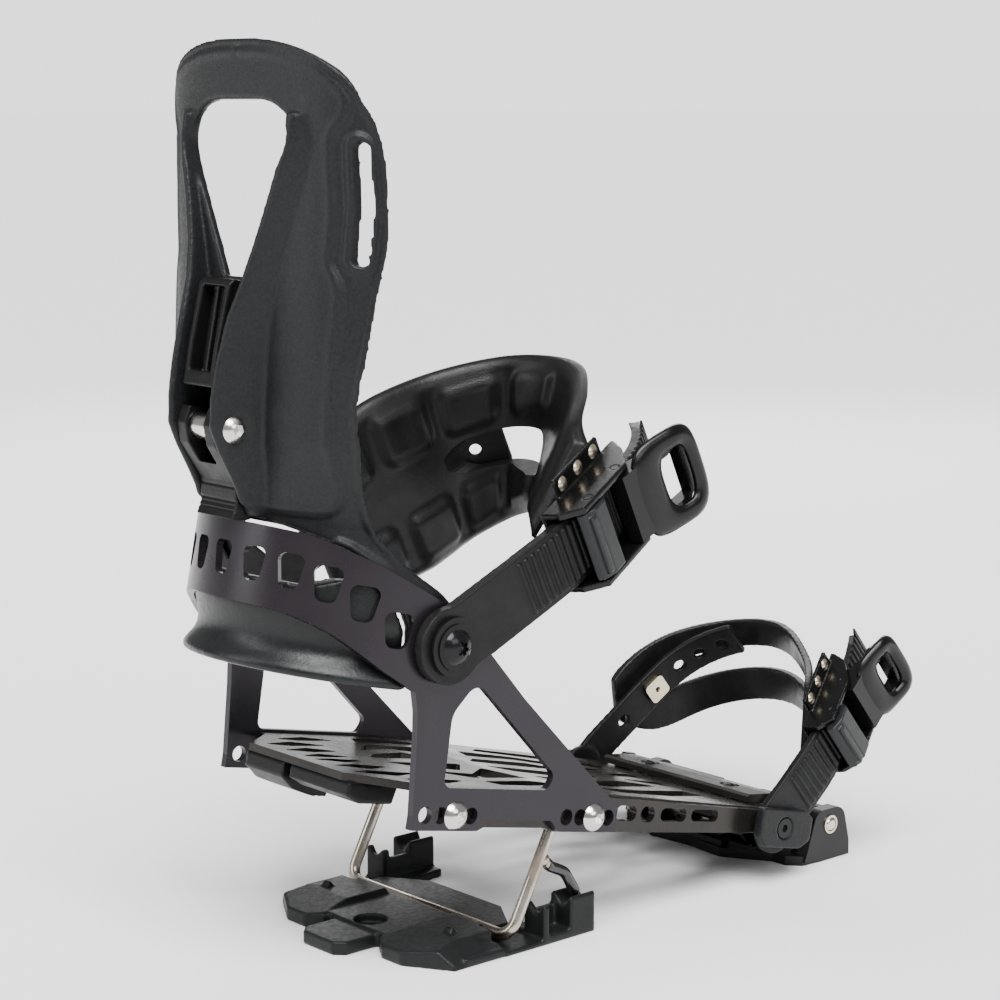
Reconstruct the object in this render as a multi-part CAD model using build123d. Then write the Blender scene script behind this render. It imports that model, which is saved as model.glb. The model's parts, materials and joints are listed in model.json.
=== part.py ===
"""Splitboard touring binding with its touring bracket, heel rest and climbing bar.

Board frame: +X to the toe, +Y across the board, +Z up, board surface at Z = 0.
Origin: centre of the touring bracket's screw pattern, straight below the toe pins.
The binding is built level in its own frame, whose origin is the toe pin axis,
and is then pitched heel-up onto the climbing bar by at_pins().
"""
import math
import os

from build123d import *

# ---------------------------------------------------------------- pose of the binding
PIN_HEIGHT = 15.5          # toe pin axis above the board
PITCH = 11.6               # heel-up angle while it rests on the climbing bar

# ---------------------------------------------------------------- toe pins and bracket
PIN_R = 3.0
PIN_END = 55.7             # tip of an engaged pin
PIN_ROOT = 24.0
PIN_FIT = 0.05
BUSH_R = 4.0
EAR_IN = 48.9
EAR_OUT = 54.6
EAR_TOP_R = 7.0
BRACKET_T = 4.0
SCREW_DX = 20.0            # bracket screw pattern
SCREW_DY = 40.0
SCREW_HOLE_R = 3.3
SCREW_HEAD_R = 6.2

# ---------------------------------------------------------------- baseplate
PLATE_T = 3.0
PLATE_TOP = 12.0
PLATE_HALF = 52.6
PLATE_REAR = -252.0
BEND_U = -165.0
PLATE_FRONT = -22.0
PLATE_FRONT_TOP = 5.0
RAIL_IN = 52.6
RAIL_OUT = 56.2
RAIL_BOTTOM = -3.8
BLOCK_HALF = 48.4
RAMP_U = -25.2             # toe ramp's hinge pin
RAMP_W = 8.2
RAMP_SCREW_U = -33.5
RAMP_SCREW_V = 24.0
RAMP_SEAT = 9.2            # seat of the ramp screws' heads

# ---------------------------------------------------------------- heel cup
CUP_T = 3.0
CUP_R = 59.25              # outer plane of the side frames and radius of the heel band
CUP_U = -240.0
CRADLE_TOP = 86.0
BOLT_W = 2.5
BOLT_REAR_U = -220.4
BOLT_FRONT_U = -148.5
BOLT_PITCH = 7.5
BOLT_R = 3.0
HEAD_R = 5.55

# ---------------------------------------------------------------- ankle pivot and highback
ANKLE_U = -239.3
ANKLE_W = 65.5
STUD_R = 4.0
RUN_FIT = 0.06
BACK_T = 3.2
BARREL_U = -313.5
BARREL_W = 131.0
BARREL_R = 5.0

# ---------------------------------------------------------------- straps
ANKLE_ANGLE = 36.0         # ankle strap's plane above the baseplate
ANKLE_BUCKLE_S = 88.0
ANKLE_BUCKLE_V = -56.2
ANKLE_BUCKLE_TURN = 14.0
TOE_U = -41.0
TOE_W = 0.0
TOE_ANGLE = 51.0
TOE_BUCKLE_S = 60.0
TOE_BUCKLE_V = -52.85
TOE_BUCKLE_TURN = 16.0
TOE_NUT_DEPTH = 2.5        # strap nut's distance inside the back strap
TOE_NUT_AT = 0.53

# ---------------------------------------------------------------- climbing bar and heel rest
WIRE_R = 2.38
WIRE_X = -180.0
WIRE_Z = 4.8
WIRE_HALF = 49.7
WIRE_LEN = 52.9
WIRE_LEAN = 27.7
WIRE_BEND = 7.0
TAB_R = 2.25               # dipped grip on the bar's finger tab
STOWED_RISE = 17.0         # slope of the bar's legs when it is folded back
REST_TOP = 6.3
LOBE_TOP = 8.6

SIDES = (-1, 1)


# ================================================================ helpers
def side_face(points, v=0.0, radii=None):
    """Face in the u-w plane at a given v."""
    corners = [(u, v, w) for u, w in points]
    if radii is None:
        line = Polyline(*corners, close=True)
    else:
        line = FilletPolyline(*corners, radius=radii, close=True)
    return make_face(line.edges())


def side_prism(points, v0, v1, radii=None):
    return extrude(side_face(points, v0, radii), amount=v1 - v0, dir=(0, 1, 0))


def top_prism(points, w0, w1, radii=None):
    corners = [(u, v, w0) for u, v in points]
    if radii is None:
        line = Polyline(*corners, close=True)
    else:
        line = FilletPolyline(*corners, radius=radii, close=True)
    return extrude(make_face(line.edges()), amount=w1 - w0, dir=(0, 0, 1))


def front_prism(points, u0, u1):
    corners = [(u0, v, w) for v, w in points]
    return extrude(make_face(Polyline(*corners, close=True).edges()), amount=u1 - u0, dir=(1, 0, 0))


def box(u0, u1, v0, v1, w0, w1):
    middle = ((u0 + u1) / 2, (v0 + v1) / 2, (w0 + w1) / 2)
    return Pos(*middle) * Box(u1 - u0, v1 - v0, w1 - w0)


def rod_y(radius, v0, v1, u=0.0, w=0.0):
    return Pos(u, (v0 + v1) / 2, w) * Rot(90, 0, 0) * Cylinder(radius, abs(v1 - v0))


def rod_z(radius, w0, w1, u=0.0, v=0.0):
    return Pos(u, v, (w0 + w1) / 2) * Cylinder(radius, w1 - w0)


def dome_y(radius, height, v, side, u, w):
    """Spherical cap on the plane at v, bulging to the given side."""
    ball_r = (radius ** 2 + height ** 2) / (2 * height)
    ball = Pos(u, v + side * (height - ball_r), w) * Sphere(ball_r)
    reach = 3 * radius
    return ball & box(u - reach, u + reach, *sorted((v, v + side * reach)), w - reach, w + reach)


def hex_socket_y(across, depth, v, side, u, w):
    """Cutter for a hex socket that opens through the head's outer end at v."""
    clear = 1.0
    mouth = Plane((u, v + side * clear, w), x_dir=(1, 0, 0), z_dir=(0, side, 0))
    return extrude(mouth * RegularPolygon(across / math.sqrt(3), 6), amount=-depth - clear)


def at_pins(shape):
    """Pitch a part built in the level binding frame and lift it to the toe pins."""
    return shape.rotate(Axis.Y, PITCH).translate((0, 0, PIN_HEIGHT))


def in_loop(shape, u0, w0, angle):
    """Place a part built in strap coordinates (along, across the foot, leg-wards)."""
    return shape.rotate(Axis.Y, -angle).translate((u0, 0, w0))


def in_buckle(shape, along, across, turn):
    """Place a part built around a buckle's centre, outward being -Y."""
    return shape.rotate(Axis.Z, turn).translate((along, across, 0))


def ankle_loop(shape):
    return in_loop(shape, ANKLE_U, ANKLE_W, ANKLE_ANGLE)


def toe_loop(shape):
    return in_loop(shape, TOE_U, TOE_W, TOE_ANGLE)


def ankle_buckle(shape):
    return ankle_loop(in_buckle(shape, ANKLE_BUCKLE_S, ANKLE_BUCKLE_V, ANKLE_BUCKLE_TURN))


def toe_buckle(shape):
    return toe_loop(in_buckle(shape, TOE_BUCKLE_S, TOE_BUCKLE_V, TOE_BUCKLE_TURN))


def band_face(points, thickness, steps=24):
    """Band of even thickness around a smooth line in the XY plane."""
    middle = Spline(*points)
    left, right = [], []
    for i in range(steps + 1):
        t = i / steps
        p, d = middle @ t, middle % t
        normal = Vector(-d.Y, d.X, 0) * (thickness / 2)
        left.append(p + normal)
        right.append(p - normal)
    sides = [Spline(*left), Spline(*right)]
    ends = [Line(left[0], right[0]), Line(left[-1], right[-1])]
    return make_face(Curve() + sides + ends)


def lofted_band(upper, lower, thickness, inset=0.0):
    """Curved strip between two edges given station by station, offset along its own normal."""
    sections = []
    count = len(upper)
    for i in range(count):
        a, b = Vector(*upper[i]), Vector(*lower[i])
        before = (Vector(*upper[max(i - 1, 0)]) + Vector(*lower[max(i - 1, 0)])) * 0.5
        after = (Vector(*upper[min(i + 1, count - 1)]) + Vector(*lower[min(i + 1, count - 1)])) * 0.5
        normal = (after - before).cross(a - b).normalized() * thickness
        shift = normal.normalized() * inset
        corners = [a + shift, b + shift, b + shift + normal, a + shift + normal]
        sections.append(Wire(Polyline(*corners, close=True).edges()))
    return Solid.make_loft(sections, ruled=False)


def save(name, *solids):
    """Write one node: one solid, or a group of identical ones."""
    flat = [one for shape in solids for one in shape.solids()]
    export_step(flat[0] if len(flat) == 1 else Compound(children=flat), f"parts/{name}.step")
    print(f"{name:24s} {len(flat):2d} solids {sum(s.volume for s in flat):10.1f} mm3")


# ================================================================ board-side parts
def touring_bracket():
    half = [(-31, 0), (-33, 21), (-21, 41), (-21, 48), (-16, 53.5), (-6, EAR_OUT), (12.5, EAR_OUT),
            (16, 50), (17, 30), (13, 0)]
    outline = half + [(x, -y) for x, y in reversed(half[1:-1])]
    bracket = top_prism(outline, 0, BRACKET_T)
    ear_top = PIN_HEIGHT + EAR_TOP_R
    ear = [(-16, 1), (-13, 9), (-8.5, ear_top), (8.5, ear_top), (12.5, 6), (12.5, 1)]
    radii = [0.5, 6, 6.4, 6.4, 4, 0.5]
    for side in SIDES:
        bracket += side_prism(ear, *sorted((side * EAR_IN, side * EAR_OUT)), radii)
        gusset = [(side * EAR_IN, BRACKET_T), (side * EAR_IN, 8.2), (side * (EAR_IN - 5), BRACKET_T)]
        bracket += front_prism(gusset, -13, -9.5)
    bracket += box(-31, -26.5, -20, 20, BRACKET_T, 6.6)
    for side in SIDES:
        bracket -= rod_y(BUSH_R, *sorted((side * 40, side * 60)), 0, PIN_HEIGHT)
        window = [(-22, side * 8), (-22, side * 30), (-13, side * 30), (-13, side * 8)]
        bracket -= top_prism(window, -1, 5, 2.5)
        for sx in SIDES:
            spot = (sx * SCREW_DX / 2, side * SCREW_DY / 2)
            bracket -= rod_z(SCREW_HOLE_R, -1, 6, *spot)
            cone = Pos(spot[0], spot[1], BRACKET_T - 1.4) * Cone(SCREW_HOLE_R, SCREW_HEAD_R, 2.9)
            bracket -= cone
    bracket -= box(-4.5, 4.5, -32, 32, -1, 5)
    return bracket


def bracket_bushings():
    rings = []
    for side in SIDES:
        span = sorted((side * (EAR_IN + 0.02), side * (EAR_OUT + 0.6)))
        ring = rod_y(BUSH_R, *span, 0, PIN_HEIGHT) - rod_y(PIN_R + PIN_FIT, *span, 0, PIN_HEIGHT)
        rings.append(ring)
    return rings


def rest_lobe(side):
    """Rear shoulder of the heel rest, bevelled down to its outer edge."""
    section = [(side * 17, 0), (side * 54, 0), (side * 53.6, 1.6), (side * 46, LOBE_TOP),
               (side * 21, LOBE_TOP), (side * 17, 5.2)]
    lobe = front_prism(section, -223, -184)
    cut = [(-224, side * 60), (-224, side * 34), (-208, side * 60)]
    lobe -= top_prism(cut, -1, 12)
    lobe -= top_prism([(-224, side * 10), (-224, side * 26), (-214, side * 10)], -1, 12)
    ramp = [(-226, 5.0), (-226, 12), (-204, 12), (-204, LOBE_TOP)]
    lobe -= side_prism(ramp, *sorted((side * 10, side * 60)))
    nub = [(-203, LOBE_TOP - 0.5), (-200.5, LOBE_TOP + 3.0), (-198, LOBE_TOP - 0.5)]
    lobe += side_prism(nub, *sorted((side * 36, side * 40)))
    return lobe


def rest_ear(side, x0, x1, top):
    """V-notched bumper on the heel rest's front arm."""
    v0, v1, mid = 43, 55, 50
    section = [(side * v0, 1), (side * v0, top - 1.0), (side * (v0 + 1.4), top), (side * (mid - 1.2), 12),
               (side * (mid + 1.2), 12), (side * (v1 - 1.4), top), (side * v1, top - 1.0), (side * v1, 1)]
    return front_prism(section, x0, x1)


def heel_rest():
    table = [(-216, -40), (-216, 40), (-172, 40), (-160, 22), (-160, -22), (-172, -40)]
    tongue = [(-235, -9), (-235, 9), (-231, 13), (-205, 13), (-205, -13), (-231, -13)]
    rest = top_prism(table, 0, REST_TOP) + top_prism(tongue, 0, 5.2)
    for side in SIDES:
        arm = [(-206, side * 30), (-206, side * 54), (-174, side * 55), (-140, side * 55),
               (-140, side * 38), (-160, side * 35), (-176, side * 26)]
        rest += top_prism(arm, 0, 3.4)
        rest += rest_lobe(side)
        rest += rest_ear(side, -168, -164, 15.6)
        rest += rest_ear(side, -153, -140, 16.4)
        rest += box(-164.1, -152.9, *sorted((side * 43, side * 46)), 1, 11.5)
    # open-topped snap groove that the bar's lower run turns in
    groove = rod_y(WIRE_R + PIN_FIT, -60, 60, WIRE_X, WIRE_Z)
    groove += box(WIRE_X - 1.9, WIRE_X + 1.9, -60, 60, WIRE_Z, 14)
    rest -= groove
    for side in SIDES:
        rest -= box(WIRE_X - 6.5, WIRE_X + 13, *sorted((side * 38.5, side * 60)), 1.8, 16)
        slope = math.tan(math.radians(STOWED_RISE))
        low = WIRE_Z - WIRE_R - 0.5
        channel = [(WIRE_X + 1, low), (WIRE_X + 1, 20), (WIRE_X - 60, 20), (WIRE_X - 60, low + 60 * slope)]
        rest -= side_prism(channel, *sorted((side * (WIRE_HALF - 3.0), side * (WIRE_HALF + 8))))
    rest -= rod_z(SCREW_HOLE_R, -1, 8, -209, 0)
    rest -= rod_z(6.5, 2.4, 8, -209, 0)
    return rest


def lean_bar(shape):
    """Turn a part built upright over the bar's pivot to its raised position."""
    return shape.rotate(Axis.Y, WIRE_LEAN).translate((WIRE_X, 0, WIRE_Z))


def climbing_wire():
    path = FilletPolyline((0, -WIRE_HALF, 0), (0, WIRE_HALF, 0), (0, WIRE_HALF, WIRE_LEN),
                          (0, -WIRE_HALF, WIRE_LEN), radius=WIRE_BEND, close=True)
    start = path.edges().filter_by(Axis.Y).sort_by(Axis.Z)[0]
    section = Plane(start @ 0.5, z_dir=start % 0.5) * Circle(WIRE_R)
    return lean_bar(sweep(section, path=Wire(path.edges())))


def hook_line():
    return FilletPolyline((WIRE_R - 0.3, -WIRE_HALF, 32.5), (7, -WIRE_HALF, 31), (15.5, -WIRE_HALF, 31.3),
                          (24.2, -WIRE_HALF, 26.2), radius=[4, 8])


def wire_tab():
    line = hook_line()
    section = Plane(line @ 0, z_dir=line % 0) * Circle(1.9)
    stub = sweep(section, path=line)
    stub += Pos(WIRE_R - 0.6, -WIRE_HALF, 32.4) * Sphere(2.8)
    stub -= rod_z(WIRE_R, 20, 50, 0, -WIRE_HALF)
    stub = stub & box(0, 5.2, -60, -40, 20, 45)
    return lean_bar(stub.solids().sort_by(SortBy.VOLUME)[-1])


def tab_grip():
    line = hook_line()
    section = Plane(line @ 0, z_dir=line % 0) * Circle(TAB_R)
    grip = sweep(section, path=line)
    grip += Pos(*(line @ 1)) * Sphere(TAB_R)
    grip -= box(-10, 5.25, -60, -40, 0, 60)
    return lean_bar(grip)


# ================================================================ baseplate group
def plate_top_at(u):
    if u <= BEND_U:
        return PLATE_TOP
    share = (u - BEND_U) / (PLATE_FRONT - BEND_U)
    return PLATE_TOP + share * (PLATE_FRONT_TOP - PLATE_TOP)


def plate_windows():
    """Through cut-outs of the baseplate, one half; the other half mirrors them."""
    windows = [
        [(-248, 3), (-236, 1.2), (-220, 3.4), (-234, 8.4)],
        [(-247, 15), (-234, 11.4), (-218, 15), (-231, 20.6)],
        [(-247, 27), (-236, 23.6), (-214, 27), (-229, 33.6)],
        [(-233, 39.5), (-222, 36.4), (-200, 39.5), (-214, 45.6)],
        [(-212, 4), (-172, 4), (-184, 18), (-204, 12)],
        [(-206, 19), (-184, 25), (-168, 12), (-158, 30), (-190, 33.4)],
        [(-191, 39.5), (-160, 36), (-140, 41), (-172, 46.5), (-188, 46.5)],
        [(-160, 4), (-92, 4), (-118, 16), (-150, 13)],
        [(-147, 20), (-118, 22), (-88, 11), (-70, 17), (-112, 31), (-142, 32)],
        [(-128, 38), (-100, 34), (-62, 24), (-58, 33), (-90, 43), (-120, 45)],
        [(-82, 4), (-58, 4), (-58, 13), (-66, 12)],
    ]
    return windows


def baseplate():
    under = [(PLATE_FRONT, PLATE_FRONT_TOP - PLATE_T), (BEND_U, PLATE_TOP - PLATE_T),
             (PLATE_REAR, PLATE_TOP - PLATE_T)]
    over = [(PLATE_REAR, PLATE_TOP), (BEND_U, PLATE_TOP), (PLATE_FRONT, PLATE_FRONT_TOP)]
    plate = side_prism(under + over, -PLATE_HALF, PLATE_HALF)
    for side in SIDES:
        corner = [(-260, side * 29), (-252, side * 29), (-241, side * 38.5), (-229, side * 50),
                  (-229, side * 60), (-260, side * 60)]
        plate -= top_prism(corner, 5, 15)
        for outline in plate_windows():
            mirrored = [(u, side * v) for u, v in outline]
            plate -= top_prism(mirrored, 0, 20, 1.1)
    rail = [(-226.4, -1.0), (-224.4, RAIL_BOTTOM), (-206, RAIL_BOTTOM), (-203, -2.4), (-171, -2.4),
            (-168, RAIL_BOTTOM), (-70, RAIL_BOTTOM), (-30, -3.0), (-22.4, -1.0),
            (-22.4, plate_top_at(-22.4) - 0.2), (BEND_U, PLATE_TOP - 1.2), (-226.4, PLATE_TOP - 1.2)]
    for side in SIDES:
        wall = side_prism(rail, *sorted((side * (RAIL_IN - 0.01), side * RAIL_OUT)))
        for u0, u1, w0, w1 in rail_slots():
            wall -= side_prism([(u0, w0), (u1, w0), (u1, w1), (u0, w1)], *sorted((side * 50, side * 60)),
                               (w1 - w0) / 2 - 0.05)
        for u in bolt_spots():
            wall -= rod_y(BOLT_R + 0.15, *sorted((side * 50, side * 60)), u, BOLT_W)
        wall -= rod_y(2.5, *sorted((side * 50, side * 60)), TOE_U, TOE_W)
        plate += wall
        lug = [(-31, 3), (-31, 6.9), (-27.6, 10.9), (-22.6, 10.9), (-22.6, 3)]
        plate += side_prism(lug, *sorted((side * 44.0, side * 47.5)))
        plate -= rod_y(1.5, *sorted((side * 43, side * 49)), RAMP_U, RAMP_W)
    bumper = [(-165, PLATE_TOP - PLATE_T + 0.5), (-165, 8.9), (-153, 4.54), (-148, 4.54), (-145.5, 8.6)]
    return plate + side_prism(bumper, -30, 30)


def rail_slots():
    """Adjustment slots of the rails: rear end, front end, bottom, top."""
    return [(-133.5, -122, 0.6, 6.8), (-119.5, -111.5, 0.2, 6.6), (-108, -93, 0.6, 6.0),
            (-90, -74, 0.8, 5.6)]


def bolt_spots():
    return [BOLT_REAR_U, BOLT_FRONT_U]


def toe_block():
    """Front cross block that carries both toe pins."""
    section = [(-38, -4.6), (-38, plate_top_at(-38) - PLATE_T - 0.02),
               (-21.8, PLATE_FRONT_TOP - PLATE_T - 0.03), (-21.8, 4.2), (-6, 6.6), (3, 6.6), (7.6, 1),
               (7.2, -4), (2, -7.2), (-8, -7.2)]
    block = side_prism(section, -BLOCK_HALF, BLOCK_HALF)
    for side in SIDES:
        block -= rod_y(PIN_R + PIN_FIT, *sorted((side * 14, side * 50)))
        block -= box(-34, -12, *sorted((side * 6, side * 40)), -10, -1.2)
    block -= box(-5, 5, -12, 12, -10, 10)
    return block


def toe_pin(side):
    pin = rod_y(PIN_R, *sorted((side * PIN_ROOT, side * PIN_END)))
    tip = pin.edges().sort_by(lambda e: side * e.center().Y)[-1]
    return fillet(tip, 1.6)


def toe_ramp():
    section = [(-43, 6.55), (-43, 8.9), (-41.6, 10.0), (-30, 10.6), (-25, 10.7), (-22.9, 9.0),
               (-22.9, 7.4), (-25.2, 5.75), (-27.5, 5.95)]
    ramp = side_prism(section, -43.6, 43.6)
    ramp -= rod_y(1.5 + PIN_FIT, -50, 50, RAMP_U, RAMP_W)
    for side in SIDES:
        ramp -= rod_z(1.6, 5, 15, RAMP_SCREW_U, side * RAMP_SCREW_V)
        ramp -= rod_z(4.3, RAMP_SEAT, 15, RAMP_SCREW_U, side * RAMP_SCREW_V)
    return ramp


def ramp_screws():
    screws = []
    for side in SIDES:
        v = side * RAMP_SCREW_V
        seat = RAMP_SEAT + 0.02
        head = Pos(RAMP_SCREW_U, v, seat + 2.0 - 5.2) * Sphere(5.2)
        head = head & box(RAMP_SCREW_U - 6, RAMP_SCREW_U + 6, v - 6, v + 6, seat, seat + 3)
        head -= extrude(Plane((RAMP_SCREW_U, v, seat + 3)) * RegularPolygon(1.6, 6), amount=-2.2)
        screws.append(head + rod_z(1.55, 6.8, seat, RAMP_SCREW_U, v))
    return screws


def ramp_pin():
    return rod_y(1.5, -47.9, 47.9, RAMP_U, RAMP_W)


def rail_screws():
    screws = []
    for side in SIDES:
        for u in bolt_spots():
            screws.append(button_screw(side, u, BOLT_W, CUP_R, RAIL_IN - 3.6))
    return screws


def button_screw(side, u, w, seat, tail):
    """Button-head screw: its head sits on the plane at `seat`, its shank ends at `tail`."""
    head = dome_y(HEAD_R, 3.4, side * seat, side, u, w)
    head -= hex_socket_y(4.0, 2.2, side * (seat + 3.4), side, u, w)
    return head + rod_y(BOLT_R, *sorted((side * seat, side * tail)), u, w)


def rail_nuts():
    nuts = []
    for side in SIDES:
        for u in bolt_spots():
            v0, v1 = sorted((side * (RAIL_IN - 0.02), side * (RAIL_IN - 2.1)))
            flat = Plane((u, v0, BOLT_W), x_dir=(1, 0, 0), z_dir=(0, 1, 0)) * RegularPolygon(5.4, 6)
            nuts.append(extrude(flat, amount=v1 - v0) - rod_y(BOLT_R, v0, v1, u, BOLT_W))
    return nuts


def cup_profile():
    """Side view of the formed heel cup: side frame, neck and heel band."""
    feet = [(-241.4, 2), (-241.4, -3.2), (-211, -3.2), (-206.5, 1), (-171.5, 1), (-166.5, -3.2),
            (-136, -3.2), (-136, 6), (-140.5, 9.8)]
    top = [(-173.2, 32.4), (-194.6, 47.2), (-220, 67.0), (-232, 76.5), (-244, 81.3), (-255, 85.7),
           (-266.5, 90.3), (-275, 93.6), (-282, 96.2), (-288, 98.2), (-295, 98.8), (-301, 98.8)]
    under = [(-301, 70.2), (-296, 70.0), (-290, 68.9), (-284, 66.6), (-278, 63.7), (-270, 58.6),
             (-262, 53.6), (-254, 49.6), (-248.4, 47.2), (-246.2, 40), (-244.6, 30)]
    return feet + top + under


def cup_shell(outer, inner):
    """U in plan: half a ring behind CUP_U and straight sides in front of it."""
    def bowl(radius):
        return rod_z(radius, -6, 102, CUP_U, 0) + box(CUP_U, -130, -radius, radius, -6, 102)
    shell = bowl(outer) - bowl(inner)
    return shell & box(-310, -132, -70, 70, -6, 102)


def band_hole(angle, height, width, tall):
    """Rounded triangular hole through the heel band, square to its surface."""
    around = math.radians(angle)
    direction = Vector(-math.cos(around), math.sin(around), 0)
    across = (-direction.Y, direction.X, 0)
    plane = Plane(Vector(CUP_U, 0, height) + direction * 40, x_dir=across, z_dir=direction)
    x, y = width / 2, tall / 2
    outline = FilletPolyline((-x, y), (x, y), (x * 0.6, -y), (-x * 0.6, -y), radius=x * 0.5, close=True)
    return extrude(plane * make_face(outline.edges()), amount=30)


BAND_HOLES = [             # angle from the rear, height, width, length down the band
    (0, 84.8, 10.5, 12.5),
    (15.5, 84.6, 11.0, 12.5),
    (30.5, 84.2, 11.5, 12.8),
    (44.5, 81.6, 12, 13),
    (58.0, 76.6, 12.5, 13),
    (71.5, 68.6, 12.5, 13),
]


def heel_cup():
    body = cup_shell(CUP_R, CUP_R - CUP_T)
    body = body & side_prism(cup_profile(), -70, 70)
    window = [(-228.4, 12.8), (-176, 12.8), (-172.9, 18.6), (-219.6, 52.6), (-229.5, 40)]
    body -= side_prism(window, -70, 70, [3.5, 3.5, 3.5, 6, 9])
    for side in SIDES:
        span = sorted((side * 50, side * 62))
        for first in (BOLT_REAR_U - 2 * BOLT_PITCH, BOLT_FRONT_U - 2 * BOLT_PITCH):
            for i in range(4):
                body -= rod_y(BOLT_R + 0.2, *span, first + i * BOLT_PITCH, BOLT_W)
        body -= rod_y(STUD_R, *span, ANKLE_U, ANKLE_W)
    for angle, height, width, tall in BAND_HOLES:
        for side in SIDES if angle else (1,):
            body -= band_hole(side * angle, height, width, tall)
    return body


def heel_cradle():
    """Moulded heel cradle under the band, with a flared lower lip."""
    seat_r = CUP_R - CUP_T - 0.02
    outer = Spline((seat_r, 69), (54.6, 64), (53.6, 59.5), (54.2, 55.2), (56.4, 51.8), (57.6, 50.0))
    section = [(seat_r, CRADLE_TOP)] + [tuple(outer @ (i / 10))[:2] for i in range(11)]
    section += [(57.9, 48.6), (57.2, 47.2), (53.5, 46.8), (50.4, 49), (50.4, CRADLE_TOP)]
    face = make_face(Polyline(*[(CUP_U - r, 0, w) for r, w in section], close=True).edges())
    axis = Axis((CUP_U, 0, 0), (0, 0, 1))
    cradle = revolve(face, axis=axis, revolution_arc=90) + revolve(face, axis=axis, revolution_arc=-90)
    trim = [(-320, 42), (-262, 42), (-252.4, 45), (-250.6, 48), (-250.6, 58), (-254.2, 69),
            (-259.8, 78.6), (-267.4, 84.6), (-276, 84), (-284, 80), (-320, 80)]
    cradle = cradle & side_prism(trim, -70, 70)
    clear = [(-253, 40), (-253, 48.4), (-262, 53.0), (-270, 58.0), (-278, 63.1), (-284, 66.0), (-290, 68.3),
             (-301, 69.6), (-301, 110), (-130, 110), (-130, 40)]
    shell = cup_shell(CUP_R + 6, CUP_R - CUP_T) & side_prism(clear, -70, 70)
    cradle -= shell
    return cradle.solids().sort_by(SortBy.VOLUME)[-1]


def heel_latch():
    """Flat-mode catch and stop block under the rear of the baseplate."""
    hook = [(-252, 8.98), (-252, 3), (-246, -1.5), (-236, -4.2), (-229, -4.2), (-229, -0.6),
            (-234, 1.2), (-236, 8.98)]
    catch = side_prism(hook, 6, 30)
    for i in range(3):
        catch -= box(-240 + 3 * i, -238.8 + 3 * i, 5, 31, -5.2, -3.6)
    block = side_prism([(-252, 8.98), (-252, 4), (-246, 1.2), (-230, 1.2), (-228, 8.98)], -34, 2)
    return [catch, block]


def toe_strap_mounts():
    """Stepped cover plates over the roots of the toe strap."""
    covers = []
    for side in SIDES:
        outline = [(-56, -3.4), (-52, -8), (-30, -8.6), (-24, -5), (-24, 4.6), (-29, 7.6), (-56, 8.4)]
        span = sorted((side * 60.8, side * 64.8))
        cover = side_prism(outline, *span, [1.5, 2, 2.5, 2.5, 2, 2, 1.5])
        cover -= rod_y(4.6, *sorted((side * 63.0, side * 66)), TOE_U, TOE_W)
        cover -= rod_y(2.5, *span, TOE_U, TOE_W)
        covers.append(cover)
    return covers


def toe_strap_screws():
    screws = []
    for side in SIDES:
        head = rod_y(4.2, *sorted((side * 63.0, side * 64.6)), TOE_U, TOE_W)
        head -= hex_socket_y(3.0, 1.2, side * 64.6, side, TOE_U, TOE_W)
        screws.append(head + rod_y(2.5, *sorted((side * (RAIL_IN - 0.8), side * 63.0)), TOE_U, TOE_W))
    return screws


def ankle_screws():
    screws = []
    for side in SIDES:
        head = dome_y(6.6, 3.2, side * 67.6, side, ANKLE_U, ANKLE_W)
        head -= star_recess(side)
        screws.append(head + rod_y(STUD_R, *sorted((side * 49.9, side * 67.6)), ANKLE_U, ANKLE_W))
    return screws


def star_recess(side):
    """Six-lobed drive recess in an ankle screw's head."""
    recess = rod_y(1.7, *sorted((side * 69.0, side * 72)), ANKLE_U, ANKLE_W)
    for i in range(6):
        angle = math.radians(60 * i)
        recess += rod_y(0.8, *sorted((side * 69.0, side * 72)), ANKLE_U + 1.9 * math.cos(angle),
                        ANKLE_W + 1.9 * math.sin(angle))
    return recess


def ankle_washers():
    washers = []
    for side in SIDES:
        span = sorted((side * 65.55, side * 67.6))
        washer = rod_y(11, *span, ANKLE_U, ANKLE_W)
        rim = rod_y(11.5, *sorted((side * 67.0, side * 69)), ANKLE_U, ANKLE_W)
        rim -= rod_y(8.6, *sorted((side * 67.0, side * 69)), ANKLE_U, ANKLE_W)
        washer -= rim
        washers.append(washer - rod_y(STUD_R, *span, ANKLE_U, ANKLE_W))
    return washers


def ankle_nuts():
    nuts = []
    for side in SIDES:
        span = sorted((side * 49.6, side * 51.6))
        nut = rod_y(8, *span, ANKLE_U, ANKLE_W)
        nuts.append(nut - rod_y(STUD_R, *span, ANKLE_U, ANKLE_W))
    return nuts


# ================================================================ highback
BACK_SECTIONS = [          # height, rear, side, half width, squareness of the plan curve
    (50, -295.0, -240, 55.3, 2.0),
    (101, -295.4, -240, 55.3, 2.0),
    (130, -302.5, -262, 60.0, 2.6),
    (160, -308.0, -272, 61.0, 2.8),
    (195, -313.5, -275, 61.5, 2.8),
    (226, -318.5, -280, 64.0, 2.8),
    (250, -323.0, -285, 64.0, 2.8),
    (280, -330.0, -291, 64.0, 2.8),
]


def back_section(height, rear, side_u, half, power, inset):
    """Closed plan curve of the highback's outer or inner skin at one height."""
    depth = side_u - rear - inset
    half = half - inset
    points = []
    for i in range(13):
        angle = math.pi * (i / 12 - 0.5)
        x = abs(math.cos(angle)) ** (2 / power)
        y = math.copysign(abs(math.sin(angle)) ** (2 / power), angle)
        points.append((side_u - depth * x, half * y, height))
    front = -222
    corners = [points[-1], (front, half, height), (front, -half, height), points[0]]
    return Wire(Curve() + [Spline(*points), Polyline(*corners)])


def back_skin(inset):
    wires = [back_section(*row, inset) for row in BACK_SECTIONS]
    return Solid.make_loft(wires, ruled=True)


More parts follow.
